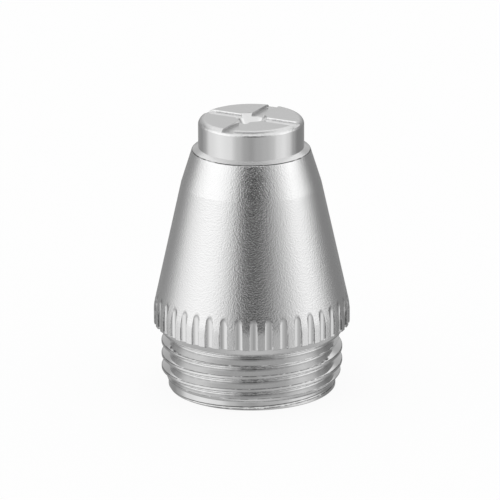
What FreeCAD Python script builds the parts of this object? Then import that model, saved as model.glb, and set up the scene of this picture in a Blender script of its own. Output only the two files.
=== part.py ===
"""Plasma torch nozzle: a turned, screw-in cutting tip in one piece.

Frame: millimetres, +Z up along the turning axis, origin at the centre of the
flat threaded end.  The tip with the small orifice points up.  The document is
parametric: every driving size is a cell of the sheet "sizes", and each sketch
and feature reads its sizes from there.
"""
import FreeCAD
import Part
import Sketcher
import math
import os

os.makedirs("parts", exist_ok=True)

NAME = "nozzle"

# Driving sizes, in millimetres and degrees, and what each one is.
SIZES = [
    # threaded end
    ("thread_radius", 7.144, "major radius of the 9/16-24 thread"),
    ("thread_pitch", 1.0583, "single start, right hand"),
    ("thread_crest", 0.22, "flat left on each crest"),
    ("thread_root_flat", 0.10, "flat at the root"),
    ("thread_end_height", 4.285, "root of the ring groove that ends the thread"),
    ("thread_end_angle", 224.7, "bearing at which the thread joins the ring groove"),
    ("thread_turns", 5.0, "whole turns cut before the last part turn"),
    ("cutter_reach", 0.04, "overlap of the thread cutter beyond the major radius"),
    ("pilot_relief", 0.544, "plain pilot below the thread crests"),
    ("pilot_length", 0.71, "plain pilot below the thread"),
    ("edge_break", 0.10, "broken edge of the flat end"),
    ("lead_angle", 39.0, "lead-in cone from the axis"),
    # fluted band
    ("seat_gap", 0.515, "ring groove root to the foot of the sloping seat"),
    ("seat_rise", 0.51, "height of the sloping seat under the band"),
    ("band_overhang", 0.586, "lands of the fluted band beyond the thread crests"),
    ("band_ledge", 0.25, "lands beyond the top of the seat"),
    ("band_width", 1.31, "straight height of the fluted band"),
    ("flute_count", 40, "straight flutes around the band"),
    ("flute_depth", 0.245, "land to the bottom of a flute"),
    ("flute_floor_curve", 0.66, "curvature of the flute floor"),
    ("flute_floor_half", 0.285, "half width of the flute floor"),
    ("flute_open_half", 0.365, "half width of the cutter outside the band"),
    ("flute_clearance", 0.23, "cutter side beyond the lands"),
    ("flute_runout", 1.78, "start of the cut above the band"),
    ("flute_phase", 1.54, "bearing of one flute"),
    # cones, shoulder and tip
    ("lower_cone_length", 10.07, "band to the knee between the cones"),
    ("knee_radius", 5.52, "where the lower cone meets the upper one"),
    ("upper_cone_length", 2.75, "knee to the shoulder"),
    ("shoulder_width", 0.51, "ring around the foot of the tip"),
    ("shoulder_rise", 0.24, "rise of that ring towards the tip"),
    ("shoulder_round", 0.18, "rounding of the shoulder edge"),
    ("tip_radius", 4.15, "cylindrical tip"),
    ("tip_length", 2.32, "cylindrical tip"),
    ("tip_rim_round", 0.53, "rounding of the tip rim"),
    ("slot_width", 1.00, "two crossing slots in the tip face"),
    ("slot_depth", 0.24, "two crossing slots in the tip face"),
    # bore, chamber and orifice
    ("seat_bore_radius", 5.10, "bore for the gas distributor"),
    ("seat_bore_depth", 5.70, "bore for the gas distributor"),
    ("mouth_break", 0.25, "chamfer at the mouth of the bore"),
    ("seat_ledge", 0.80, "step from that bore in to the arc chamber"),
    ("chamber_straight", 4.10, "straight part of the chamber"),
    ("funnel_radius", 2.10, "arc chamber at the foot of the funnel"),
    ("funnel_length", 1.55, "funnel to the orifice"),
    ("orifice_length", 1.65, "straight part of the orifice"),
    ("orifice_radius", 0.55, "orifice"),
    ("countersink_depth", 1.20, "countersink at the tip face"),
    ("countersink_radius", 1.25, "countersink at the tip face"),
]

# Sizes that follow from the driving ones.
DERIVED = [
    ("thread_depth", "(thread_pitch - thread_crest - thread_root_flat) / (2 * tan(30deg))"),
    ("thread_root_radius", "thread_radius - thread_depth"),
    ("pilot_radius", "thread_radius - pilot_relief"),
    ("lead_top", "pilot_length + pilot_relief / tan(lead_angle * 1deg)"),
    ("seat_foot_height", "thread_end_height + seat_gap"),
    ("band_bottom", "seat_foot_height + seat_rise"),
    ("band_top", "band_bottom + band_width"),
    ("band_radius", "thread_radius + band_overhang"),
    ("seat_top_radius", "band_radius - band_ledge"),
    ("flute_floor_radius", "band_radius - flute_depth"),
    ("flute_floor_centre", "flute_floor_radius + flute_floor_curve"),
    ("flute_open_radius", "band_radius + flute_clearance"),
    ("flute_cut_top", "band_top + flute_runout"),
    ("knee_height", "band_top + lower_cone_length"),
    ("shoulder_height", "knee_height + upper_cone_length"),
    ("shoulder_radius", "tip_radius + shoulder_width"),
    ("tip_foot_height", "shoulder_height + shoulder_rise"),
    ("total_height", "tip_foot_height + tip_length"),
    ("chamber_radius", "seat_bore_radius - seat_ledge"),
    ("chamber_straight_top", "seat_bore_depth + chamber_straight"),
    ("orifice_top", "total_height - countersink_depth"),
    ("orifice_foot", "orifice_top - orifice_length"),
    ("funnel_foot", "orifice_foot - funnel_length"),
]


def build_sheet(doc):
    """Write every size to a sheet, one named cell a row."""
    sheet = doc.addObject("Spreadsheet::Sheet", "sizes")
    rows = [(alias, str(value), note) for alias, value, note in SIZES]
    rows += [(alias, "=" + formula, "derived") for alias, formula in DERIVED]
    for row, (alias, content, note) in enumerate(rows, start=1):
        sheet.set("A%d" % row, alias)
        sheet.set("B%d" % row, content)
        sheet.set("C%d" % row, note)
        sheet.setAlias("B%d" % row, alias)
    doc.recompute()
    return sheet


def size(sheet, alias):
    """Return the number held by one cell of the sheet."""
    return float(getattr(sheet, alias))


def cell(formula):
    """Turn a formula over bare size names into one that reads the sheet."""
    names = {row[0] for row in SIZES + DERIVED}
    result = []
    word = ""
    for letter in formula + " ":
        if letter.isalnum() or letter == "_":
            word += letter
            continue
        result.append("sizes." + word if word in names else word)
        result.append(letter)
        word = ""
    return "".join(result).strip()


def value_of(sheet, formula):
    """Work out a formula over size names with the sheet's present numbers."""
    return float(sheet.evalExpression(cell(formula)))


def origin_plane(body, role):
    """Return the plane of the body's own origin with the given role."""
    return next(item for item in body.Origin.OriginFeatures if item.Role == role)


def new_sketch(body, name, plane):
    """Add an empty sketch on one of the body's origin planes."""
    sketch = body.newObject("Sketcher::SketchObject", name)
    sketch.AttachmentSupport = [(origin_plane(body, plane), "")]
    sketch.MapMode = "FlatFace"
    return sketch


def pin(sketch, sheet, kind, geo, pos, formula):
    """Fix one coordinate of a point by a formula; zero puts it on an axis."""
    if formula == "0":
        axis = -2 if kind == "DistanceX" else -1
        sketch.addConstraint(Sketcher.Constraint("PointOnObject", geo, pos, axis))
        return
    number = value_of(sheet, formula)
    index = sketch.addConstraint(Sketcher.Constraint(kind, -1, 1, geo, pos, number))
    sketch.setExpression("Constraints[%d]" % index, cell(formula))


def outline(sketch, sheet, corners):
    """Draw a closed polygon whose corners follow pairs of formulas."""
    places = [FreeCAD.Vector(value_of(sheet, across), value_of(sheet, up), 0)
              for across, up in corners]
    count = len(places)
    for k in range(count):
        sketch.addGeometry(Part.LineSegment(places[k], places[(k + 1) % count]))
    for k in range(count):
        sketch.addConstraint(Sketcher.Constraint("Coincident", k, 2, (k + 1) % count, 1))
    for k, (across, up) in enumerate(corners):
        pin(sketch, sheet, "DistanceX", k, 1, across)
        pin(sketch, sheet, "DistanceY", k, 1, up)


def turned(body, sketch, name, kind):
    """Turn a profile one full turn about the body's axis, adding or removing."""
    feature = body.newObject("PartDesign::" + kind, name)
    feature.Profile = sketch
    feature.ReferenceAxis = (sketch, ["V_Axis"])
    feature.Angle = 360.0
    sketch.Visibility = False
    body.Document.recompute()
    return feature


def ring_edges(shape, radius, height):
    """Name the circular edges about the axis with a given radius and height."""
    found = []
    for index, edge in enumerate(shape.Edges, start=1):
        curve = edge.Curve
        if not isinstance(curve, Part.Circle):
            continue
        if math.hypot(curve.Center.x, curve.Center.y) > 1e-4:
            continue
        if abs(curve.Center.z - height) < 1e-4 and abs(curve.Radius - radius) < 1e-4:
            found.append("Edge%d" % index)
    return found


def rounded(body, base, name, edges, radius_name):
    """Round named edges of a feature by a size from the sheet."""
    feature = body.newObject("PartDesign::Fillet", name)
    feature.Base = (base, edges)
    feature.setExpression("Radius", cell(radius_name))
    base.Visibility = False
    body.Document.recompute()
    return feature


def removed(feature, before, least):
    """Stop the build when a cut took away less than it should."""
    taken = before - feature.Shape.Volume
    if taken < least:
        raise RuntimeError("%s removed only %.4f mm3" % (feature.Name, taken))


def build_blank(body, sheet):
    """Turn the outside: pilot, thread blank, seat, band, two cones and tip."""
    sketch = new_sketch(body, "outer_profile", "XZ_Plane")
    outline(sketch, sheet, [
        ("0", "0"),
        ("pilot_radius - edge_break", "0"),
        ("pilot_radius", "edge_break"),
        ("pilot_radius", "pilot_length"),
        ("thread_radius", "lead_top"),
        ("thread_radius", "seat_foot_height"),
        ("seat_top_radius", "band_bottom"),
        ("band_radius", "band_bottom"),
        ("band_radius", "band_top"),
        ("knee_radius", "knee_height"),
        ("shoulder_radius", "shoulder_height"),
        ("tip_radius", "tip_foot_height"),
        ("tip_radius", "total_height"),
        ("0", "total_height"),
    ])
    blank = turned(body, sketch, "outer_form", "Revolution")
    rim = ring_edges(blank.Shape, size(sheet, "tip_radius"), size(sheet, "total_height"))
    blank = rounded(body, blank, "tip_rim", rim, "tip_rim_round")
    edge = ring_edges(blank.Shape, size(sheet, "shoulder_radius"),
                      size(sheet, "shoulder_height"))
    return rounded(body, blank, "shoulder_rim", edge, "shoulder_round")


def bore(body, sheet):
    """Turn out the bore, the arc chamber, the orifice and its countersink."""
    before = body.Tip.Shape.Volume
    sketch = new_sketch(body, "bore_profile", "XZ_Plane")
    outline(sketch, sheet, [
        ("0", "0"),
        ("seat_bore_radius + mouth_break", "0"),
        ("seat_bore_radius", "mouth_break"),
        ("seat_bore_radius", "seat_bore_depth"),
        ("chamber_radius", "seat_bore_depth"),
        ("chamber_radius", "chamber_straight_top"),
        ("funnel_radius", "funnel_foot"),
        ("orifice_radius", "orifice_foot"),
        ("orifice_radius", "orifice_top"),
        ("countersink_radius", "total_height"),
        ("0", "total_height"),
    ])
    feature = turned(body, sketch, "bore_and_orifice", "Groove")
    removed(feature, before, 500.0)


def lifted(sketch, height, turn):
    """Raise a sketch along the axis and turn it, both by formulas."""
    sketch.setExpression("AttachmentOffset.Base.z", cell(height))
    if turn != "0":
        sketch.AttachmentOffset = FreeCAD.Placement(
            FreeCAD.Vector(0, 0, 0), FreeCAD.Rotation(FreeCAD.Vector(0, 0, 1), 1.0))
        sketch.setExpression("AttachmentOffset.Rotation.Angle", cell(turn) + " * 1deg")
    sketch.Document.recompute()


def pocket_down(body, sketch, name, depth):
    """Cut a sketch straight down by a formula for the depth."""
    feature = body.newObject("PartDesign::Pocket", name)
    feature.Profile = sketch
    feature.setExpression("Length", cell(depth))
    sketch.Visibility = False
    body.Document.recompute()
    return feature


def cut_flutes(body, sheet):
    """Cut one straight flute with a shallow round floor and repeat it."""
    before = body.Tip.Shape.Volume
    sketch = new_sketch(body, "flute_profile", "XY_Plane")
    centre = size(sheet, "flute_floor_centre")
    curve = size(sheet, "flute_floor_curve")
    half = size(sheet, "flute_floor_half")
    open_half = size(sheet, "flute_open_half")
    outer = size(sheet, "flute_open_radius")
    swing = math.asin(half / curve)
    inner = centre - curve * math.cos(swing)
    sketch.addGeometry(Part.ArcOfCircle(
        Part.Circle(FreeCAD.Vector(centre, 0, 0), FreeCAD.Vector(0, 0, 1), curve),
        math.pi - swing, math.pi + swing))
    corners = [FreeCAD.Vector(inner, -half, 0), FreeCAD.Vector(outer, -open_half, 0),
               FreeCAD.Vector(outer, open_half, 0), FreeCAD.Vector(inner, half, 0)]
    for first, last in zip(corners[:-1], corners[1:]):
        sketch.addGeometry(Part.LineSegment(first, last))
    sketch.addConstraint(Sketcher.Constraint("Coincident", 0, 2, 1, 1))
    sketch.addConstraint(Sketcher.Constraint("Coincident", 1, 2, 2, 1))
    sketch.addConstraint(Sketcher.Constraint("Coincident", 2, 2, 3, 1))
    sketch.addConstraint(Sketcher.Constraint("Coincident", 3, 2, 0, 1))
    pin(sketch, sheet, "DistanceX", 0, 3, "flute_floor_centre")
    pin(sketch, sheet, "DistanceY", 0, 3, "0")
    radius = sketch.addConstraint(Sketcher.Constraint("Radius", 0, curve))
    sketch.setExpression("Constraints[%d]" % radius, cell("flute_floor_curve"))
    pin(sketch, sheet, "DistanceY", 0, 1, "flute_floor_half")
    pin(sketch, sheet, "DistanceY", 0, 2, "-flute_floor_half")
    pin(sketch, sheet, "DistanceX", 1, 2, "flute_open_radius")
    pin(sketch, sheet, "DistanceY", 1, 2, "-flute_open_half")
    pin(sketch, sheet, "DistanceX", 2, 2, "flute_open_radius")
    pin(sketch, sheet, "DistanceY", 2, 2, "flute_open_half")
    lifted(sketch, "flute_cut_top", "flute_phase")
    flute = pocket_down(body, sketch, "flute", "flute_cut_top - band_bottom")
    ring = body.newObject("PartDesign::PolarPattern", "flutes")
    ring.Originals = [flute]
    ring.Axis = (sketch, ["N_Axis"])
    ring.Angle = 360.0
    ring.setExpression("Occurrences", cell("flute_count"))
    body.Tip = ring
    body.Document.recompute()
    removed(ring, before, 5.0)


def cut_slots(body, sheet):
    """Saw two shallow crossing slots through the tip face."""
    before = body.Tip.Shape.Volume
    sketch = new_sketch(body, "slot_profile", "XY_Plane")
    half = "slot_width / 2"
    reach = "tip_radius + 1"
    outline(sketch, sheet, [
        (reach, half), (half, half), (half, reach), ("-" + half, reach),
        ("-" + half, half), ("-(" + reach + ")", half), ("-(" + reach + ")", "-" + half),
        ("-" + half, "-" + half), ("-" + half, "-(" + reach + ")"),
        (half, "-(" + reach + ")"), (half, "-" + half), (reach, "-" + half),
    ])
    lifted(sketch, "total_height", "0")
    feature = pocket_down(body, sketch, "slots", "slot_depth")
    removed(feature, before, 1.0)


def thread_corners(middle):
    """Return the cutter section of the thread about a height formula.

    The flanks stand at 30 degrees from the radial line and run a little past
    the crests; the short flat between them is the root.
    """
    mouth = "(thread_pitch - thread_crest) / 2 + cutter_reach * tan(30deg)"
    root = "thread_root_flat / 2"
    outer = "thread_radius + cutter_reach"
    return [
        ("thread_root_radius", "%s - %s" % (middle, root)),
        (outer, "%s - (%s)" % (middle, mouth)),
        (outer, "%s + %s" % (middle, mouth)),
        ("thread_root_radius", "%s + %s" % (middle, root)),
    ]


def cut_thread(body, sheet):
    """Cut the ring groove that ends the thread, then the thread itself."""
    before = body.Tip.Shape.Volume
    ring_sketch = new_sketch(body, "ring_groove_profile", "XZ_Plane")
    outline(ring_sketch, sheet, thread_corners("thread_end_height"))
    ring = turned(body, ring_sketch, "ring_groove", "Groove")
    removed(ring, before, 5.0)
    before = ring.Shape.Volume
    climb = "thread_pitch * (thread_turns + thread_end_angle / 360)"
    sketch = new_sketch(body, "thread_profile", "XZ_Plane")
    outline(sketch, sheet, thread_corners("thread_end_height - %s" % climb))
    thread = body.newObject("PartDesign::SubtractiveHelix", "thread")
    thread.Profile = sketch
    thread.ReferenceAxis = (sketch, ["V_Axis"])
    thread.Mode = "pitch-height-angle"
    thread.setExpression("Pitch", cell("thread_pitch"))
    thread.setExpression("Height", cell(climb))
    thread.Angle = 0.0
    thread.LeftHanded = False
    thread.Reversed = False
    sketch.Visibility = False
    body.Document.recompute()
    removed(thread, before, 20.0)


def check(doc, body):
    """Stop the build on any object in error or on a shape that is not sound."""
    for item in doc.Objects:
        if "Invalid" in item.State or "Error" in item.State:
            raise RuntimeError("%s is in error: %s" % (item.Name, item.State))
    shape = body.Shape
    if shape.isNull() or not shape.isValid() or len(shape.Solids) != 1:
        raise RuntimeError("%s is not one sound solid" % body.Label)


def main():
    """Build the document, check it and write the one part."""
    doc = FreeCAD.newDocument("plasma_nozzle")
    sheet = build_sheet(doc)
    body = doc.addObject("PartDesign::Body", NAME)
    body.Label = NAME
    build_blank(body, sheet)
    bore(body, sheet)
    cut_slots(body, sheet)
    cut_flutes(body, sheet)
    cut_thread(body, sheet)
    doc.recompute()
    check(doc, body)
    body.Shape.exportStep("parts/%s.step" % NAME)
    box = body.Shape.BoundBox
    print("%s: %.3f x %.3f x %.3f mm, %.2f mm3" % (
        NAME, box.XLength, box.YLength, box.ZLength, body.Shape.Volume))


main()
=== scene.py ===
"""Looks of a plasma torch nozzle: a plated, turned, screw-in cutting tip.

The visible skin is one closed mesh of stacked rings.  Each part of the nozzle
(threaded foot, fluted band, cones, slotted tip, hollow) is a class that works
out its own rings from a few sizes in millimetres; the mesh is in metres, with
+Z up along the turning axis and the flat threaded end on the floor.
"""
from __future__ import annotations

import logging
import math
from dataclasses import dataclass, field
from enum import Enum
from typing import Any

import bpy
import numpy as np
from mathutils import Matrix, Vector


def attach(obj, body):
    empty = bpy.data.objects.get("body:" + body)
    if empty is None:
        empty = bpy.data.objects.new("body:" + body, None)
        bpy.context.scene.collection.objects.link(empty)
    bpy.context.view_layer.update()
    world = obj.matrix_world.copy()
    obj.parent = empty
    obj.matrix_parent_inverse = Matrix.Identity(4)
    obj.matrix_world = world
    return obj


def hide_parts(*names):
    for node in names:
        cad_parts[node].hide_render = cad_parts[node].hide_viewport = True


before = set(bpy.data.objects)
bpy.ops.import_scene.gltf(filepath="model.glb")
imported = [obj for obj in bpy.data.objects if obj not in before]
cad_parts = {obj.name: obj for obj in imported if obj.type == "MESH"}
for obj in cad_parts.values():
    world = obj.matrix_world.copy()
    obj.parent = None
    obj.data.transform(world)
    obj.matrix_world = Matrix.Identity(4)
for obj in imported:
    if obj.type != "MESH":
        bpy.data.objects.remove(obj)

MILLIMETRE = 0.001
log = logging.getLogger("nozzle")


# --------------------------------------------------------------------------
# shapes
# --------------------------------------------------------------------------


def soft_min(first: np.ndarray, second: np.ndarray, width: float) -> np.ndarray:
    """Lower of two surfaces, with the corner between them rounded off.

    Inside the width the lower value loses a quarter of (width - gap) squared
    over the width, so the result never stands above either surface.

    Args:
        first: heights or radii of one surface.
        second: heights or radii of the other.
        width: difference over which the two run into each other.

    Returns:
        The rounded minimum, of the same shape.
    """
    near = np.maximum(width - np.abs(first - second), 0.0)
    return np.minimum(first, second) - near * near / (4.0 * width)


def seam(first: np.ndarray, second: np.ndarray, width: float) -> np.ndarray:
    """Share of a line of painted shade along a corner: 1 where two surfaces cross, 0 past the
    width.

    Args:
        first: heights or radii of one surface.
        second: heights or radii of the other.
        width: difference at which the line has faded out.

    Returns:
        The share at each place.
    """
    return np.clip(1.0 - np.abs(first - second) / width, 0.0, 1.0)


def soft_max(first: np.ndarray, second: np.ndarray, width: float) -> np.ndarray:
    """Higher of two surfaces, with the corner between them filled round.

    Args:
        first: heights or radii of one surface.
        second: heights or radii of the other.
        width: difference over which the two run into each other.

    Returns:
        The rounded maximum, of the same shape.
    """
    return -soft_min(-first, -second, width)


def even_angles(count: int, start: float) -> np.ndarray:
    """Bearings of evenly spaced columns.

    Args:
        count: number of columns in one turn.
        start: bearing of the first, in degrees.

    Returns:
        The bearings in radians, rising.
    """
    return np.radians(start + 360.0 * np.arange(count) / count)


@dataclass
class RingMesh:
    """A closed skin made of rings of points laid one after the other.

    Rings run anticlockwise seen from above.  They climb the outside and come
    back down the inside, and the last one joins the first.
    """

    rings: list[np.ndarray] = field(default_factory=list)
    grains: list[np.ndarray] = field(default_factory=list)
    shade_lines: list[np.ndarray] = field(default_factory=list)

    def add(self, angles: np.ndarray, radii: Any, heights: Any, grain: Any,
            line: Any = 0.0) -> None:
        """Lay one more ring.

        Args:
            angles: bearing of each column in radians.
            radii: distance from the axis in millimetres, one or per column.
            heights: height in millimetres, one or per column.
            grain: share of blasted grain on it, one or per column.
            line: share of painted shade, a dark line along a corner, on it, one or per column.
        """
        radii = np.broadcast_to(radii, angles.shape)
        heights = np.broadcast_to(heights, angles.shape)
        points = np.stack([radii * np.cos(angles), radii * np.sin(angles), heights], axis=1)
        self.rings.append(points * MILLIMETRE)
        self.grains.append(np.array(np.broadcast_to(grain, angles.shape), dtype=float))
        self.shade_lines.append(np.array(np.broadcast_to(line, angles.shape), dtype=float))

    @staticmethod
    def _middles(ring: np.ndarray) -> np.ndarray:
        """Bearings halfway between the columns of a ring.

        Args:
            ring: points of the ring in metres.

        Returns:
            The bearings in radians, rising from the first.
        """
        bearing = np.unwrap(np.arctan2(ring[:, 1], ring[:, 0]))
        bearing = bearing - 2.0 * math.pi * round(bearing[0] / (2.0 * math.pi))
        onward = np.append(bearing[1:], bearing[0] + 2.0 * math.pi)
        return (bearing + onward) / 2.0

    def _band(self, lower: int, upper: int, starts: np.ndarray) -> list[list[int]]:
        """Join two rings by quads, or by triangles where their counts differ.

        Where they differ, each edge of one ring meets the column of the other
        whose bearing is nearest to the middle of that edge.

        Args:
            lower: number of the ring that the band starts from.
            upper: number of the ring that it reaches.
            starts: number of the first point of each ring.

        Returns:
            The faces as lists of point numbers.
        """
        ring_a, ring_b = self.rings[lower], self.rings[upper]
        count_a, count_b = len(ring_a), len(ring_b)
        here_a, here_b = np.arange(count_a), np.arange(count_b)
        next_a, next_b = (here_a + 1) % count_a, (here_b + 1) % count_b
        start_a, start_b = starts[lower], starts[upper]
        if count_a == count_b:
            faces = np.stack([start_a + here_a, start_a + next_a,
                              start_b + next_b, start_b + here_b], axis=1)
            return faces.tolist()
        middle_a, middle_b = self._middles(ring_a), self._middles(ring_b)
        near_a = np.searchsorted(middle_a, middle_b) % count_a
        near_b = np.searchsorted(middle_b, middle_a) % count_b
        fans = np.stack([start_a + near_a, start_b + next_b, start_b + here_b], axis=1)
        backs = np.stack([start_a + here_a, start_a + next_a, start_b + near_b], axis=1)
        return fans.tolist() + backs.tolist()

    def build(self, name: str, sharp: float) -> bpy.types.Object:
        """Make the mesh object, with smooth shading except over sharp edges.

        Args:
            name: name of the object.
            sharp: angle in degrees past which an edge shows as an edge.

        Returns:
            The new object, linked to the scene.
        """
        counts = np.array([len(ring) for ring in self.rings])
        starts = np.concatenate([[0], np.cumsum(counts)[:-1]])
        total = len(self.rings)
        faces: list[list[int]] = []
        for ring in range(total):
            faces += self._band(ring, (ring + 1) % total, starts)
        mesh = bpy.data.meshes.new(name)
        mesh.from_pydata(np.concatenate(self.rings).tolist(), [], faces)
        mesh.shade_smooth()
        mesh.set_sharp_from_angle(angle=math.radians(sharp))
        # The second attribute carries the painted shade lines along corners.
        for label, shares in (("grain", self.grains), ("seam", self.shade_lines)):
            layer = mesh.attributes.new(label, "FLOAT", "POINT")
            layer.data.foreach_set("value", np.concatenate(shares).astype(np.float32))
        mesh.update()
        body = bpy.data.objects.new(name, mesh)
        bpy.context.scene.collection.objects.link(body)
        return body


@dataclass
class ThreadedFoot:
    """Pilot, lead-in cone, right-hand thread, ring groove and sloping seat."""

    columns: int = 224
    row_step: float = 0.0215
    crest_radius: float = 7.144
    root_radius: float = 6.505
    pitch: float = 1.0583
    root_half: float = 0.05
    end_height: float = 4.285
    end_bearing: float = 224.7
    pilot_radius: float = 6.60
    pilot_length: float = 0.71
    edge_break: float = 0.10
    lead_slope: float = math.tan(math.radians(39.0))
    seat_foot: float = 4.80
    seat_top: float = 5.31
    seat_radius: float = 7.48
    edge_round: float = 0.075
    root_round: float = 0.18
    # Painted shade: dark lines on the thread's crests and root, and along the seat's edges,
    # stand in for shadow and dark reflection.
    shade_width: float = 0.07
    root_shade: float = 0.25
    # Each seat row: share of the rise, and share of painted shade.
    seat_rows: tuple[tuple[float, float], ...] = (
        (0.0, 0.7), (0.06, 0.0), (0.2, 0.0), (0.6, 0.0), (0.93, 0.0), (1.0, 0.6))

    def blank(self, height: float) -> float:
        """Radius before threading: pilot, then the lead-in cone, then the crests.

        Args:
            height: height of the row in millimetres.

        Returns:
            The radius in millimetres.
        """
        lead = self.pilot_radius + (height - self.pilot_length) * self.lead_slope
        return float(np.clip(lead, self.pilot_radius, self.crest_radius))

    def groove(self, gap: np.ndarray) -> np.ndarray:
        """Radius left by the cutter at a height gap from the middle of its root.

        The root is a short flat; each flank rises from it by the gap over the
        tangent of 30 degrees, and the two meet in a round.

        Args:
            gap: height above or below the middle of the root, in millimetres.

        Returns:
            The radius at each gap.
        """
        flank = (np.abs(gap) - self.root_half) / math.tan(math.radians(30.0))
        return self.root_radius + soft_max(flank, np.zeros_like(flank), self.root_round)

    def row(self, height: float, angles: np.ndarray) -> tuple[np.ndarray, np.ndarray]:
        """Radii of the thread at one height, and the painted shade lines on its corners.

        The middle of the root climbs one pitch a turn and reaches the ring
        groove at its end bearing; the nearest turn of it does the cutting.

        Args:
            height: height of the row in millimetres.
            angles: bearings in radians.

        Returns:
            The radius and the share of painted shade at each bearing.
        """
        turn = (np.degrees(angles) - self.end_bearing) / 360.0
        turn = turn - np.ceil(turn)
        first = self.end_height + self.pitch * turn
        steps = np.maximum(np.round((first - height) / self.pitch), 0.0)
        helix = self.groove(height - (first - steps * self.pitch))
        ring = self.groove(np.full_like(helix, height - self.end_height))
        cut = soft_min(helix, ring, self.edge_round)
        blank = np.full_like(cut, self.blank(height))
        root = np.full_like(cut, self.root_radius + self.root_round / 2.0)
        # painted shade along the crests and, fainter, at the root
        line = np.maximum(seam(cut, blank, self.shade_width),
                          self.root_shade * seam(cut, root, self.root_round / 2.0))
        return soft_min(cut, blank, self.edge_round), line

    def build(self, skin: RingMesh) -> None:
        """Lay the rings from the flat end up to the top of the seat.

        Each row of the seat is a share of its rise and of painted shade, a dark line along its
        corners.

        Args:
            skin: mesh that takes the rings.
        """
        angles = even_angles(self.columns, 0.0)
        skin.add(angles, self.pilot_radius - self.edge_break, 0.0, 0.0)
        top = self.seat_foot - self.row_step
        rows = round((top - self.edge_break) / self.row_step)
        for height in np.linspace(self.edge_break, top, rows):
            radii, line = self.row(float(height), angles)
            skin.add(angles, radii, float(height), 0.0, line)
        rise = self.seat_top - self.seat_foot
        for share, line in self.seat_rows:
            radius = self.crest_radius + share * (self.seat_radius - self.crest_radius)
            skin.add(angles, radius, self.seat_foot + share * rise, 0.0, line)


@dataclass
class FlutedBand:
    """Widest part: lands with round-floored flutes that run out in the cone."""

    flutes: int = 40
    phase: float = 1.54
    bottom: float = 5.31
    top: float = 6.62
    radius: float = 7.73
    floor_radius: float = 7.485
    floor_curve: float = 0.66
    floor_half: float = 0.285
    open_half: float = 0.365
    open_radius: float = 7.96
    cone_fall: float = (7.73 - 5.52) / 10.07
    edge_round: float = 0.028
    top_round: float = 0.09
    # Painted shade: dark lines along the flute edges, and at the lands' lower lip, stand in for
    # shadow and dark reflection.
    shade_width: float = 0.055
    side_shade: float = 0.9
    head_shade: float = 0.45
    head_height: float = 7.3
    lip: float = 0.03
    lip_rows: tuple[float, ...] = (0.0, 0.012, 0.035, 0.07)
    side_rows: tuple[float, ...] = (5.7, 6.1)
    head_start: float = 6.2
    head_end: float = 7.92
    head_step: float = 0.055
    grain_fade: float = 0.02
    half_columns: tuple[float, ...] = (0.9, 1.6, 2.02, 2.14, 2.25, 2.36, 2.47, 2.7)

    def columns(self) -> np.ndarray:
        """Bearings of the columns, closer together at the sides of each flute.

        Returns:
            The bearings in radians, rising.
        """
        pitch = 360.0 / self.flutes
        half = np.array(self.half_columns)
        one = np.concatenate([[0.0], half, [pitch / 2.0], pitch - half[::-1]])
        starts = self.phase + pitch * np.arange(self.flutes)
        return np.radians((starts[:, None] + one[None, :]).ravel())

    def flute(self, angles: np.ndarray) -> np.ndarray:
        """Radius left by the nearest flute, and one past the lands between flutes.

        Seen along the axis the floor is an arc about a point outside it, and
        each side is a straight line that leans outwards.

        Args:
            angles: bearings in radians.

        Returns:
            The radius at each bearing.
        """
        pitch = 2.0 * math.pi / self.flutes
        swing = (angles - math.radians(self.phase) + pitch / 2.0) % pitch - pitch / 2.0
        swing = np.abs(swing)
        centre = self.floor_radius + self.floor_curve
        reach = np.maximum(self.floor_curve**2 - (centre * np.sin(swing)) ** 2, 0.0)
        floor = centre * np.cos(swing) - np.sqrt(reach)
        foot = centre - math.sqrt(self.floor_curve**2 - self.floor_half**2)
        lean = (self.open_half - self.floor_half) / (self.open_radius - foot)
        side = (lean * foot - self.floor_half) / (lean * np.cos(swing) - np.sin(swing))
        on_floor = floor * np.sin(swing) <= self.floor_half
        past = swing > math.atan(self.open_half / self.open_radius)
        return np.where(on_floor, floor, np.where(past, self.open_radius, side))

    def outside(self, height: float) -> float:
        """Radius without flutes: a cylinder that rounds into the long cone.

        Args:
            height: height of the row in millimetres.

        Returns:
            The radius in millimetres.
        """
        cone = np.array(self.radius - self.cone_fall * (height - self.top))
        return float(soft_min(np.array(self.radius), cone, self.top_round))

    def build(self, skin: RingMesh) -> None:
        """Lay the rings from the underside of the band to above the flutes.

        Args:
            skin: mesh that takes the rings.
        """
        angles = self.columns()
        flute = self.flute(angles)
        rows = [self.bottom + step for step in self.lip_rows] + list(self.side_rows)
        rows += np.arange(self.head_start, self.head_end, self.head_step).tolist()
        for height in rows:
            lip = max(self.lip - (height - self.bottom), 0.0)
            land = np.full_like(angles, self.outside(height) - lip)
            radii = soft_min(land, flute, self.edge_round)
            grain = np.clip((flute - land) / self.grain_fade + 0.5, 0.0, 1.0)
            strength = self.side_shade if height < self.head_height else self.head_shade
            # Painted shade: dark lines along the flute edges and under the lower lip of the
            # lands.
            line = seam(land, flute, self.shade_width) * strength
            skin.add(angles, radii, height, grain, np.maximum(line, lip / self.lip * grain))


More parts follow.
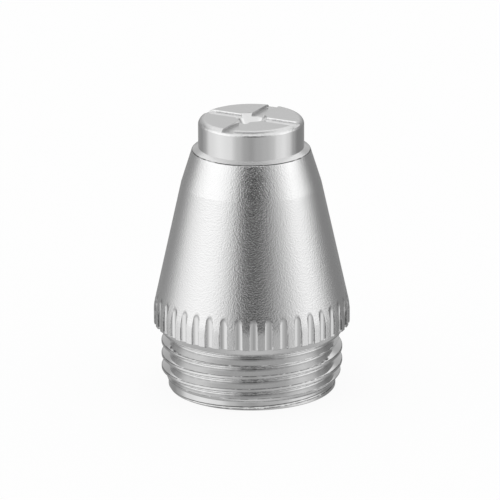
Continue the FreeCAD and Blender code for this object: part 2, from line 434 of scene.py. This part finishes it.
@dataclass
class ConedBody:
    """Long cone, steeper cone, rounded shoulder ring and foot of the tip."""

    columns: int = 320
    start_height: float = 8.0
    band_top: float = 6.62
    band_radius: float = 7.73
    knee_height: float = 16.69
    knee_radius: float = 5.52
    shoulder_height: float = 19.44
    shoulder_radius: float = 4.66
    shoulder_round: float = 0.18
    tip_foot: float = 19.68
    tip_radius: float = 4.15
    knee_round: float = 0.25
    # Painted shade: a dark line at the shoulder's edge stands in for the shade between the tip
    # and the shoulder.
    edge_shade: float = 0.9
    shade_reach: float = 0.03
    ring_grain: float = 0.4

    def _corner(self, before: Vector, at: Vector, after: Vector,
                rounding: float, steps: int) -> list[tuple[float, float]]:
        """Round one corner of the outline by an arc that touches both sides.

        The arc starts and ends at rounding times the tangent of half the turn
        from the corner, and its centre lies on the line that halves the angle.

        Args:
            before: point of the outline before the corner, as radius and height.
            at: the corner.
            after: the point after it.
            rounding: radius of the arc in millimetres.
            steps: number of points on the arc.

        Returns:
            Pairs of radius and height along the arc.
        """
        back, on = (before - at).normalized(), (after - at).normalized()
        half = back.angle(on) / 2.0
        reach = rounding / math.tan(half)
        centre = at + (back + on).normalized() * rounding / math.sin(half)
        first, last = at + back * reach - centre, at + on * reach - centre
        turn = first.angle_signed(last)
        points = []
        for share in np.linspace(0.0, 1.0, steps):
            arm = first.copy()
            arm.rotate(Matrix.Rotation(-turn * float(share), 2))
            points.append(tuple(centre + arm))
        return points

    def outline(self) -> list[tuple[float, float]]:
        """Outline of the body, from above the flutes to the foot of the tip.

        Returns:
            Pairs of radius and height in millimetres.
        """
        slope = (self.band_radius - self.knee_radius) / (self.knee_height - self.band_top)
        start = Vector((self.band_radius - slope * (self.start_height - self.band_top),
                        self.start_height))
        knee = Vector((self.knee_radius, self.knee_height))
        shoulder = Vector((self.shoulder_radius, self.shoulder_height))
        foot = Vector((self.tip_radius, self.tip_foot))
        points = [tuple(start.lerp(knee, float(share))) for share in np.linspace(0.0, 0.9, 8)]
        points += self._corner(start, knee, shoulder, self.knee_round, 4)
        points += [tuple(knee.lerp(shoulder, share)) for share in (0.3, 0.6)]
        points += self._corner(knee, shoulder, foot, self.shoulder_round, 9)
        points += [tuple(shoulder.lerp(foot, share)) for share in (0.75, 0.97, 1.0)]
        return points

    def build(self, skin: RingMesh) -> None:
        """Lay the rings from above the flutes to the foot of the tip.

        Args:
            skin: mesh that takes the rings.
        """
        angles = even_angles(self.columns, 0.0)
        for radius, height in self.outline():
            # rows at the shoulder's edge take a line of painted shade
            on_edge = abs(height - self.shoulder_height) < self.shade_reach
            grain = 1.0 if height < self.shoulder_height else self.ring_grain
            skin.add(angles, radius, height, grain, self.edge_shade if on_edge else 0.0)


@dataclass
class SlottedTip:
    """Tip with a rounded rim, two crossing slots and a countersink."""

    radius: float = 4.15
    foot: float = 19.68
    top: float = 22.0
    rim: float = 0.53
    slot_half: float = 0.50
    slot_depth: float = 0.24
    sink_radius: float = 1.25
    sink_foot: float = 20.80
    orifice: float = 0.55
    rim_foot: float = 21.55
    land_columns: int = 36
    edge_round: float = 0.02
    above: float = 0.10
    closest: float = 1.04
    side_rows: tuple[float, ...] = (19.71, 20.2, 21.0, 21.4)
    face_rows: tuple[float, ...] = (3.55, 3.2, 2.6, 2.0, 1.5, 1.30, 1.265)
    sink_rows: tuple[float, ...] = (
        1.25, 1.24, 1.22, 1.19, 1.16, 1.13, 1.10, 1.07, 1.02, 0.85, 0.68, 0.57, 0.55)
    rim_grain: float = 1.2
    face_grain: float = 0.6
    sink_grain: float = 0.3
    side_grain: float = 0.1

    def across(self) -> tuple[np.ndarray, np.ndarray]:
        """Section of one half slot, from its middle to past its lip.

        Returns:
            Distances from the middle of the slot, and the depth at each.
        """
        wall = self.slot_half
        offsets = np.array([0.0, 0.25, wall - 0.06, wall - 0.025, wall - 0.004,
                            wall + 0.004, wall + 0.016, wall + 0.035, wall + 0.08])
        depths = self.slot_depth + np.array([0.0, 0.0, 0.0, -0.005, -0.03])
        lips = np.array([0.035, 0.010, 0.0, -self.above])
        return offsets, np.concatenate([depths, lips])

    def columns(self, radius: float) -> tuple[np.ndarray, np.ndarray]:
        """Bearings of the columns at one radius, and how deep the slots cut there.

        Columns beside a slot keep their distance from its middle, so their
        bearing is the arc sine of that distance over the radius; the lands
        between the slots are divided evenly.

        Args:
            radius: distance of the ring from the axis in millimetres.

        Returns:
            Bearings in radians, and the highest level that the slots leave.
        """
        offsets, depths = self.across()
        side = np.arcsin(offsets / max(radius, self.closest))
        share = np.arange(1, self.land_columns + 1) / (self.land_columns + 1)
        land = side[-1] + share * (math.pi / 2.0 - 2.0 * side[-1])
        quarter = np.concatenate([side, land, math.pi / 2.0 - side[:0:-1]])
        depth = np.concatenate([depths, np.full(self.land_columns, -self.above), depths[:0:-1]])
        angles = (np.arange(4)[:, None] * math.pi / 2.0 + quarter[None, :]).ravel()
        return angles, self.top - np.tile(depth, 4)

    def outline(self) -> list[tuple[float, float]]:
        """Outline of the tip without slots, from its foot in to the orifice.

        Returns:
            Pairs of radius and height in millimetres.
        """
        points = [(self.radius, height) for height in self.side_rows]
        centre = (self.radius - self.rim, self.top - self.rim)
        for turn in np.radians(np.linspace(0.0, 90.0, 15)):
            points.append((centre[0] + self.rim * math.cos(turn),
                           centre[1] + self.rim * math.sin(turn)))
        points += [(radius, self.top) for radius in self.face_rows]
        slope = (self.top - self.sink_foot) / (self.sink_radius - self.orifice)
        for radius in self.sink_rows:
            points.append((radius, self.sink_foot + (radius - self.orifice) * slope))
        return points

    def grain(self, radius: float, height: float) -> float:
        """Share of blasted grain at one place of the outline.

        Args:
            radius: distance from the axis in millimetres.
            height: height in millimetres.

        Returns:
            The share, above 1 on the rim, which is the roughest.
        """
        if radius < self.sink_radius:
            return self.sink_grain
        if height <= self.rim_foot:
            return self.side_grain
        return self.rim_grain if radius > self.radius - self.rim else self.face_grain

    def build(self, skin: RingMesh) -> None:
        """Lay the rings up the side, over the rim and face, down to the orifice.

        Args:
            skin: mesh that takes the rings.
        """
        for radius, height in self.outline():
            angles, level = self.columns(radius)
            plain = np.full_like(level, height)
            heights = soft_min(plain, level, self.edge_round)
            skin.add(angles, radius, heights, self.grain(radius, height))


@dataclass
class Hollow:
    """Inside: orifice, funnel, arc chamber, seat bore and its broken mouth."""

    columns: int = 128
    outline: tuple[tuple[float, float], ...] = (
        (0.55, 20.70), (0.55, 19.20), (0.55, 19.15), (0.60, 19.10), (2.05, 17.65),
        (2.10, 17.60), (2.12, 17.53), (4.28, 9.87), (4.30, 9.80), (4.30, 9.70),
        (4.30, 5.73), (4.30, 5.70), (4.33, 5.70), (5.07, 5.70), (5.10, 5.70),
        (5.10, 5.67), (5.10, 0.28), (5.10, 0.25), (5.35, 0.0))

    def build(self, skin: RingMesh) -> None:
        """Lay the rings from the orifice back down to the flat end.

        Args:
            skin: mesh that takes the rings.
        """
        angles = even_angles(self.columns, 0.0)
        for radius, height in self.outline:
            skin.add(angles, radius, height, 0.0)


# --------------------------------------------------------------------------
# shader building
# --------------------------------------------------------------------------


@dataclass
class Wire:
    """One output of a node tree, with Python's operators as Math nodes."""

    tree: bpy.types.NodeTree
    socket: bpy.types.NodeSocket

    def _math(self, operation: str, *values: Any) -> Wire:
        """Add one Math node over this tree and return its output."""
        made = add_node(self.tree, "ShaderNodeMath", {"operation": operation},
                        dict(enumerate(values)))
        return Wire(self.tree, made.outputs[0])

    def __add__(self, other: Any) -> Wire:
        """This plus another."""
        return self._math("ADD", self, other)

    def __sub__(self, other: Any) -> Wire:
        """This minus another."""
        return self._math("SUBTRACT", self, other)

    def __mul__(self, other: Any) -> Wire:
        """This times another."""
        return self._math("MULTIPLY", self, other)

    def __truediv__(self, other: Any) -> Wire:
        """This divided by another."""
        return self._math("DIVIDE", self, other)

    def __radd__(self, other: Any) -> Wire:
        """A number plus this."""
        return self._math("ADD", other, self)

    def __rsub__(self, other: Any) -> Wire:
        """A number minus this."""
        return self._math("SUBTRACT", other, self)

    def __rmul__(self, other: Any) -> Wire:
        """A number times this."""
        return self._math("MULTIPLY", other, self)

    def step(self, low: float, high: float) -> Wire:
        """Smooth step: 0 up to low and 1 from high on, also where low is the higher.

        Args:
            low: value at which the result is 0.
            high: value at which it is 1.

        Returns:
            The share from 0 to 1.
        """
        made = add_node(self.tree, "ShaderNodeMapRange", {"interpolation_type": "SMOOTHSTEP"},
                        {0: self, 1: min(low, high), 2: max(low, high),
                         3: float(low > high), 4: float(low <= high)})
        return Wire(self.tree, made.outputs[0])

    def arcsine(self) -> Wire:
        """Angle whose sine this is, in radians."""
        return self._math("ARCSINE", self)

    def bearing(self, across: Wire) -> Wire:
        """Angle from the axis of this to the point (this, across), in radians.

        Args:
            across: the other coordinate.

        Returns:
            The angle.
        """
        return self._math("ARCTAN2", across, self)

    def blend(self, first: Any, second: Any) -> Wire:
        """First where this is 0, second where it is 1.

        Args:
            first: a number or a Wire.
            second: a number or a Wire.

        Returns:
            The mixture.
        """
        return first + self * (second - first)


def add_node(tree: bpy.types.NodeTree, kind: str, settings: dict[str, Any],
             inputs: dict[Any, Any]) -> bpy.types.Node:
    """Add a node, set it up, then fill its inputs.

    Args:
        tree: node tree to add to.
        kind: Blender's name for the node type.
        settings: properties set first; "stops" fills a colour ramp with pairs
            of place and grey level.
        inputs: input number or name to a value or a Wire.

    Returns:
        The new node.
    """
    node = tree.nodes.new(kind)
    for name, value in settings.items():
        if name == "stops":
            ramp = node.color_ramp
            ramp.interpolation = "EASE"
            while len(ramp.elements) < len(value):
                ramp.elements.new(1.0)
            for element, (place, level) in zip(ramp.elements, value):
                element.position = place
                element.color = (level, level, level, 1.0)
        else:
            setattr(node, name, value)
    for name, value in inputs.items():
        if isinstance(value, Wire):
            tree.links.new(value.socket, node.inputs[name])
        else:
            node.inputs[name].default_value = value
    return node


def out(tree: bpy.types.NodeTree, node: bpy.types.Node, name: Any = 0) -> Wire:
    """One output of a node as a Wire.

    Args:
        tree: node tree that holds the node.
        node: the node.
        name: number or name of the output.

    Returns:
        The output.
    """
    return Wire(tree, node.outputs[name])


@dataclass(frozen=True)
class SilverPlate:
    """Bright silver plating over copper, satin where the part was blasted."""

    grey: float = 0.80
    bright_roughness: float = 0.10
    satin_roughness: float = 0.16
    # Grey of the painted shade lines that darken the corners.
    painted_shade_grey: float = 0.05
    grain_size: float = 0.00012
    grain_height: float = 0.000022
    grain_uneven: float = 0.10
    mark_scale: float = 11000.0
    mark_depth: float = 0.05
    patch_scale: float = 2600.0
    patch_fade: tuple[float, float] = (0.22, 0.55)
    thread_marks: float = 0.75
    tip_marks: float = 0.25
    thread_top: float = 0.0048
    tip_foot: float = 0.0196

    def material(self) -> bpy.types.Material:
        """Make the material.

        The grain attribute says how blasted the surface is, and a second attribute
        where painted shade, a dark line that stands in for shadow and dark reflection
        at an edge, runs along a corner.  Grain and fine turning marks go into one
        height for the bump, and where the surface is blasted it is also a little rougher.

        Returns:
            The new material.
        """
        made = bpy.data.materials.new("silver_plate")
        made.use_nodes = True
        tree = made.node_tree
        tree.nodes.clear()
        place = out(tree, add_node(tree, "ShaderNodeTexCoord", {}, {}), "Object")
        grain = out(tree, add_node(tree, "ShaderNodeAttribute",
                                   {"attribute_name": "grain"}, {}), "Fac")
        # share of painted shade along corners, read from the mesh
        line = out(tree, add_node(tree, "ShaderNodeAttribute",
                                  {"attribute_name": "seam"}, {}), "Fac")
        split = add_node(tree, "ShaderNodeSeparateXYZ", {}, {0: place})
        height = out(tree, split, "Z")
        speckle = out(tree, add_node(tree, "ShaderNodeTexNoise", {}, {
            "Vector": place, "Scale": 1.0 / self.grain_size, "Detail": 2.0,
            "Roughness": 0.6}), "Fac")
        rings = add_node(tree, "ShaderNodeCombineXYZ", {}, {"Z": height})
        marks = out(tree, add_node(tree, "ShaderNodeTexNoise", {}, {
            "Vector": out(tree, rings), "Scale": self.mark_scale, "Detail": 3.0,
            "Roughness": 0.7}), "Fac")
        thread = height.step(self.thread_top + 0.0002, self.thread_top)
        tip = height.step(self.tip_foot, self.tip_foot + 0.0001)
        turned = thread * self.thread_marks + tip * self.tip_marks
        relief = speckle * grain + marks * turned * self.mark_depth
        patches = out(tree, add_node(tree, "ShaderNodeTexNoise", {}, {
            "Vector": place, "Scale": self.patch_scale, "Detail": 2.0, "Roughness": 0.6}), "Fac")
        # Painted shade: the corner lines, broken into patches by noise, darken the colour
        # towards the painted shade grey.
        painted_shade = line * patches.step(*self.patch_fade)
        tone = painted_shade.blend(self.grey, self.painted_shade_grey)
        colour = add_node(tree, "ShaderNodeCombineColor", {}, {0: tone, 1: tone, 2: tone})
        bump = add_node(tree, "ShaderNodeBump", {}, {
            "Strength": 1.0, "Distance": self.grain_height, "Height": relief})
        rough = (grain.blend(self.bright_roughness, self.satin_roughness)
                 + (speckle - 0.5) * grain * self.grain_uneven)
        shader = add_node(tree, "ShaderNodeBsdfPrincipled", {}, {
            "Base Color": out(tree, colour),
            "Metallic": 1.0, "Roughness": rough, "Normal": out(tree, bump)})
        add_node(tree, "ShaderNodeOutputMaterial", {}, {"Surface": out(tree, shader)})
        return made


# --------------------------------------------------------------------------
# studio
# --------------------------------------------------------------------------


class Level(Enum):
    """Heights at which the soft panels round the object differ."""

    WALLS = "walls"
    TABLE = "table"


@dataclass(frozen=True)
class Panels:
    """Soft light panels round the object.

    Each pair is a bearing in degrees from the camera, positive to its right,
    and the brightness there; the light runs smoothly from one pair to the next.
    Each fade is the pair of heights above the horizon, in degrees, between
    which one level gives way to another.
    """

    walls: tuple[tuple[float, float], ...] = (
        (-180, 0.62), (-150, 0.44), (-132, 0.33), (-120, 0.50),  # wall behind, left
        (-104, 1.08), (-80, 1.30), (-50, 1.24), (-34, 0.94),  # bright panel, left
        (-22, 0.50), (-13, 0.10), (0, 0.05), (10, 0.07),  # dark gap at the camera
        (24, 0.20), (36, 0.52), (46, 0.62),  # half-lit screen
        (55, 0.96), (74, 1.30), (92, 1.22), (107, 0.72),  # bright panel, right
        (120, 0.30), (132, 0.26), (148, 0.44), (180, 0.62))  # wall behind, right
    table: tuple[tuple[float, float], ...] = (
        (-180, 0.34), (-136, 0.30), (-122, 0.42),  # far side
        (-100, 0.84), (-72, 0.97), (-48, 0.88), (-28, 0.58),  # lit side, left
        (-12, 0.43), (0, 0.38), (14, 0.46), (34, 0.52), (48, 0.61),  # before the camera
        (60, 0.82), (76, 0.90), (90, 0.76), (106, 0.40),  # lit side, right
        (122, 0.25), (140, 0.25), (180, 0.34))  # far side
    overhead: float = 0.38
    upper_ring: float = 0.95
    floor_ring: float = 0.50
    underneath: float = 0.58
    wall_fade: tuple[float, float] = (-4.0, 6.5)
    upper_fade: tuple[float, float] = (24.0, 36.0)
    overhead_fade: tuple[float, float] = (56.0, 76.0)
    floor_fade: tuple[float, float] = (-26.0, -42.0)
    under_fade: tuple[float, float] = (-66.0, -84.0)

    def stops(self, level: Level) -> list[tuple[float, float]]:
        """Ramp stops of one level.

        Args:
            level: level to give the stops of.

        Returns:
            Pairs of place, from 0 to 1 round the object, and brightness.
        """
        pairs = self.walls if level is Level.WALLS else self.table
        return [((bearing + 180.0) / 360.0, bright) for bearing, bright in pairs]

    def room(self, lift: Wire, levels: dict[Level, Wire]) -> Wire:
        """Brightness of the room at every height.

        Args:
            lift: height above the horizon in degrees.
            levels: brightness of each level round the object.

        Returns:
            The brightness, from underneath up to overhead.
        """
        sides = lift.step(*self.wall_fade).blend(levels[Level.TABLE], levels[Level.WALLS])
        above = lift.step(*self.upper_fade).blend(sides, self.upper_ring)
        above = lift.step(*self.overhead_fade).blend(above, self.overhead)
        below = lift.step(*self.floor_fade).blend(above, self.floor_ring)
        return lift.step(*self.under_fade).blend(below, self.underneath)


@dataclass
class Studio:
    """Camera, pale floor and soft light."""

    azimuth: float = 27.5
    elevation: float = 18.048
    distance: float = 499.8
    aim_height: float = 9.383
    lens: float = 457.0
    roll: float = 0.2
    shift: tuple[float, float] = (-0.00326, 0.0416)
    floor_reach: float = 3.0
    floor_level: float = -0.00001
    floor_grey: float = 0.9
    floor_white: float = 0.9
    panels: Panels = Panels()

    def direction(self) -> Vector:
        """Direction from the object to the camera.

        Returns:
            A unit vector.
        """
        turn, lift = math.radians(self.azimuth), math.radians(self.elevation)
        return Vector((math.sin(turn) * math.cos(lift), -math.cos(turn) * math.cos(lift),
                       math.sin(lift)))

    def add_camera(self) -> None:
        """Place the camera and make it the scene's."""
        data = bpy.data.cameras.new("camera")
        data.lens = self.lens
        data.sensor_width = 36.0
        data.shift_x, data.shift_y = self.shift
        data.clip_start, data.clip_end = 0.01, 10.0
        camera = bpy.data.objects.new("camera", data)
        back = self.direction()
        aim = Vector((0.0, 0.0, self.aim_height * MILLIMETRE))
        turn = (-back).to_track_quat("-Z", "Y").to_matrix()
        turn = turn @ Matrix.Rotation(math.radians(-self.roll), 3, "Z")
        camera.rotation_mode = "QUATERNION"
        camera.rotation_quaternion = turn.to_quaternion()
        camera.location = aim + back * self.distance * MILLIMETRE
        bpy.context.scene.collection.objects.link(camera)
        bpy.context.scene.camera = camera

    def add_floor(self) -> bpy.types.Object:
        """Lay a large pale floor that shows white and keeps a soft shadow.

        Returns:
            The floor.
        """
        mesh = bpy.data.meshes.new("floor")
        reach, level, grey = self.floor_reach, self.floor_level, self.floor_grey
        mesh.from_pydata([(-reach, -reach, level), (reach, -reach, level),
                          (reach, reach, level), (-reach, reach, level)], [], [(0, 1, 2, 3)])
        floor = bpy.data.objects.new("floor", mesh)
        bpy.context.scene.collection.objects.link(floor)
        floor.visible_glossy = False
        made = bpy.data.materials.new("pale_floor")
        made.use_nodes = True
        tree = made.node_tree
        tree.nodes.clear()
        seen = out(tree, add_node(tree, "ShaderNodeLightPath", {}, {}), "Is Camera Ray")
        matt = add_node(tree, "ShaderNodeBsdfDiffuse", {}, {"Color": (grey, grey, grey, 1.0)})
        glow = add_node(tree, "ShaderNodeEmission", {}, {"Color": (1.0, 1.0, 1.0, 1.0),
                                                          "Strength": 1.0})
        mixed = add_node(tree, "ShaderNodeMixShader", {}, {
            0: seen * self.floor_white, 1: out(tree, matt), 2: out(tree, glow)})
        add_node(tree, "ShaderNodeOutputMaterial", {}, {"Surface": out(tree, mixed)})
        mesh.materials.append(made)
        return floor

    def add_world(self) -> None:
        """Set the room: white to the camera, soft panels to the polished metal.

        The bearing round the object picks the brightness of the wall or table
        panel, and the height above the horizon blends between the levels.
        """
        world = bpy.data.worlds.new("studio")
        bpy.context.scene.world = world
        world.use_nodes = True
        tree = world.node_tree
        tree.nodes.clear()
        place = out(tree, add_node(tree, "ShaderNodeTexCoord", {}, {}), "Generated")
        turned = add_node(tree, "ShaderNodeVectorRotate", {"rotation_type": "Z_AXIS"}, {
            "Vector": place, "Angle": -math.radians(self.azimuth)})
        split = add_node(tree, "ShaderNodeSeparateXYZ", {}, {0: out(tree, turned)})
        across, depth, height = (out(tree, split, axis) for axis in range(3))
        bearing = (0.0 - depth).bearing(across) / (2.0 * math.pi) + 0.5
        lift = height.arcsine() * math.degrees(1.0)
        levels = {}
        for level in Level:
            ramp = add_node(tree, "ShaderNodeValToRGB", {"stops": self.panels.stops(level)},
                            {"Fac": bearing})
            levels[level] = out(tree, ramp, "Color")
        room = self.panels.room(lift, levels)
        path = add_node(tree, "ShaderNodeLightPath", {}, {})
        glossy = out(tree, path, "Is Glossy Ray")
        seen = add_node(tree, "ShaderNodeBackground", {}, {"Color": (1.0, 1.0, 1.0, 1.0)})
        panels = add_node(tree, "ShaderNodeBackground", {}, {"Color": room})
        mixed = add_node(tree, "ShaderNodeMixShader", {}, {
            0: glossy, 1: out(tree, seen), 2: out(tree, panels)})
        add_node(tree, "ShaderNodeOutputWorld", {}, {"Surface": out(tree, mixed)})

    def build(self) -> None:
        """Add the camera, the floor and the world, and keep plain colours."""
        self.add_camera()
        self.add_floor()
        self.add_world()
        bpy.context.scene.view_settings.view_transform = "Standard"


@dataclass
class Nozzle:
    """The whole part: one skin over all its sections, and its plating."""

    foot: ThreadedFoot = field(default_factory=ThreadedFoot)
    band: FlutedBand = field(default_factory=FlutedBand)
    body: ConedBody = field(default_factory=ConedBody)
    tip: SlottedTip = field(default_factory=SlottedTip)
    hollow: Hollow = field(default_factory=Hollow)
    plate: SilverPlate = SilverPlate()
    sharp: float = 32.0

    def build(self) -> bpy.types.Object:
        """Build the skin, plate it and set it in place of the plain solid.

        Returns:
            The finished piece.
        """
        skin = RingMesh()
        for section in (self.foot, self.band, self.body, self.tip, self.hollow):
            section.build(skin)
            log.info("%s laid, %d rings so far", type(section).__name__, len(skin.rings))
        piece = skin.build("nozzle_skin", self.sharp)
        piece.data.materials.append(self.plate.material())
        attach(piece, "root")
        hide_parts("nozzle")
        return piece


def main() -> None:
    """Build the nozzle and its studio, and log the face count."""
    logging.basicConfig(level=logging.INFO, format="%(name)s: %(message)s")
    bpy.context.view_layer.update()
    piece = Nozzle().build()
    log.info("%s has %d faces", piece.name, len(piece.data.polygons))
    Studio().build()
    log.info("studio is set")


if __name__ == "__main__":
    main()
